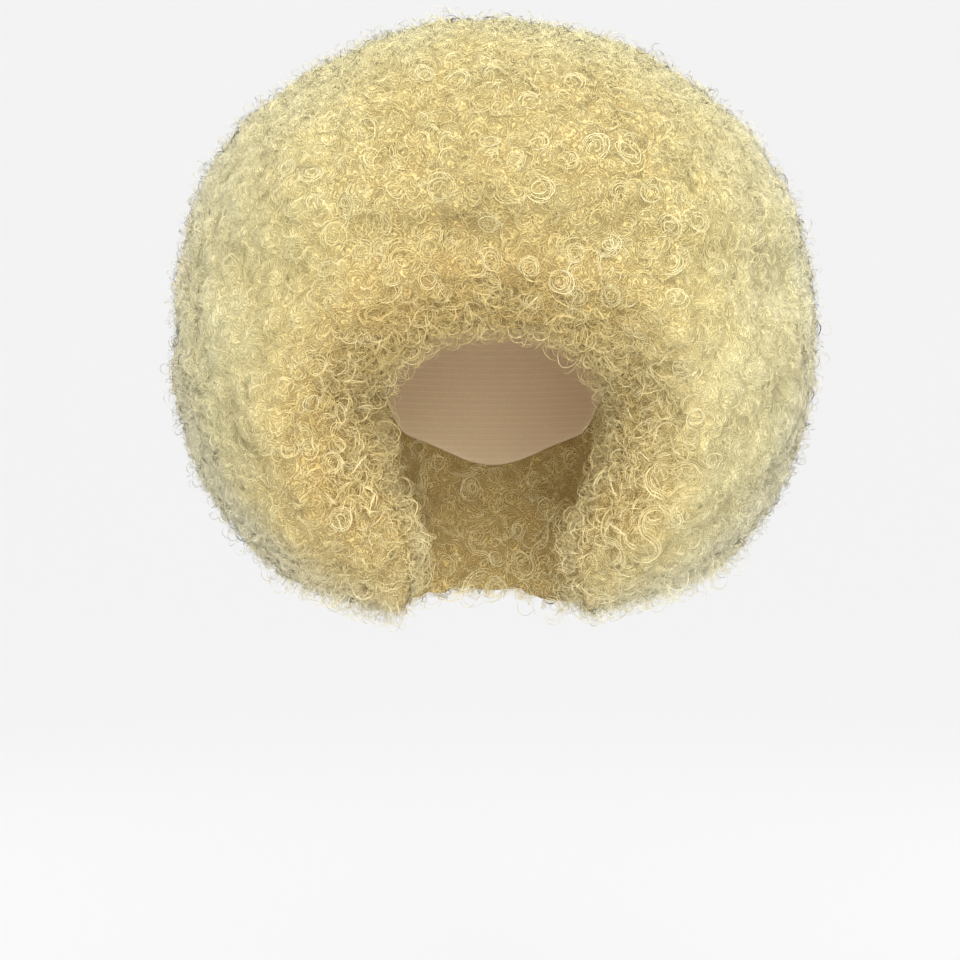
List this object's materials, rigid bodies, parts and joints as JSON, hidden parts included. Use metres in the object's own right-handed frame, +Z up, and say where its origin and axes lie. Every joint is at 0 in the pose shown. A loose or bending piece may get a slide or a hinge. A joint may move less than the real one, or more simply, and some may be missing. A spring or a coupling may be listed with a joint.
{
  "type": "afro wig",
  "caption": "Large round wig of short tight blond curls on a thin stretch cap, with a fringe over the brow and a window for the face.",
  "frame": {"origin": "the crown of the head: the highest point of the cap's inside, where the wig rests on the head that wears it", "axes": "+Z up, -Y the way the face looks, +X the wearer's left side"},
  "size_m": [0.4212, 0.3944, 0.3897],
  "materials": {
    "cap_net": "matt honey-beige stretch net with rows of sewn weft",
    "blond_curls": "pale golden-blond synthetic hair in tight ring curls, soft sheen",
    "fringe_curls": "sparser golden-blond ring curls over the brow, darker in the gaps"
  },
  "bodies": {
    "root": {"wig_cap": "cap_net", "crown_hair": "blond_curls", "fringe_hair": "fringe_curls", "side_hair_right": "blond_curls", "side_hair_left": "blond_curls", "back_hair": "blond_curls"}
  },
  "joints": []
}
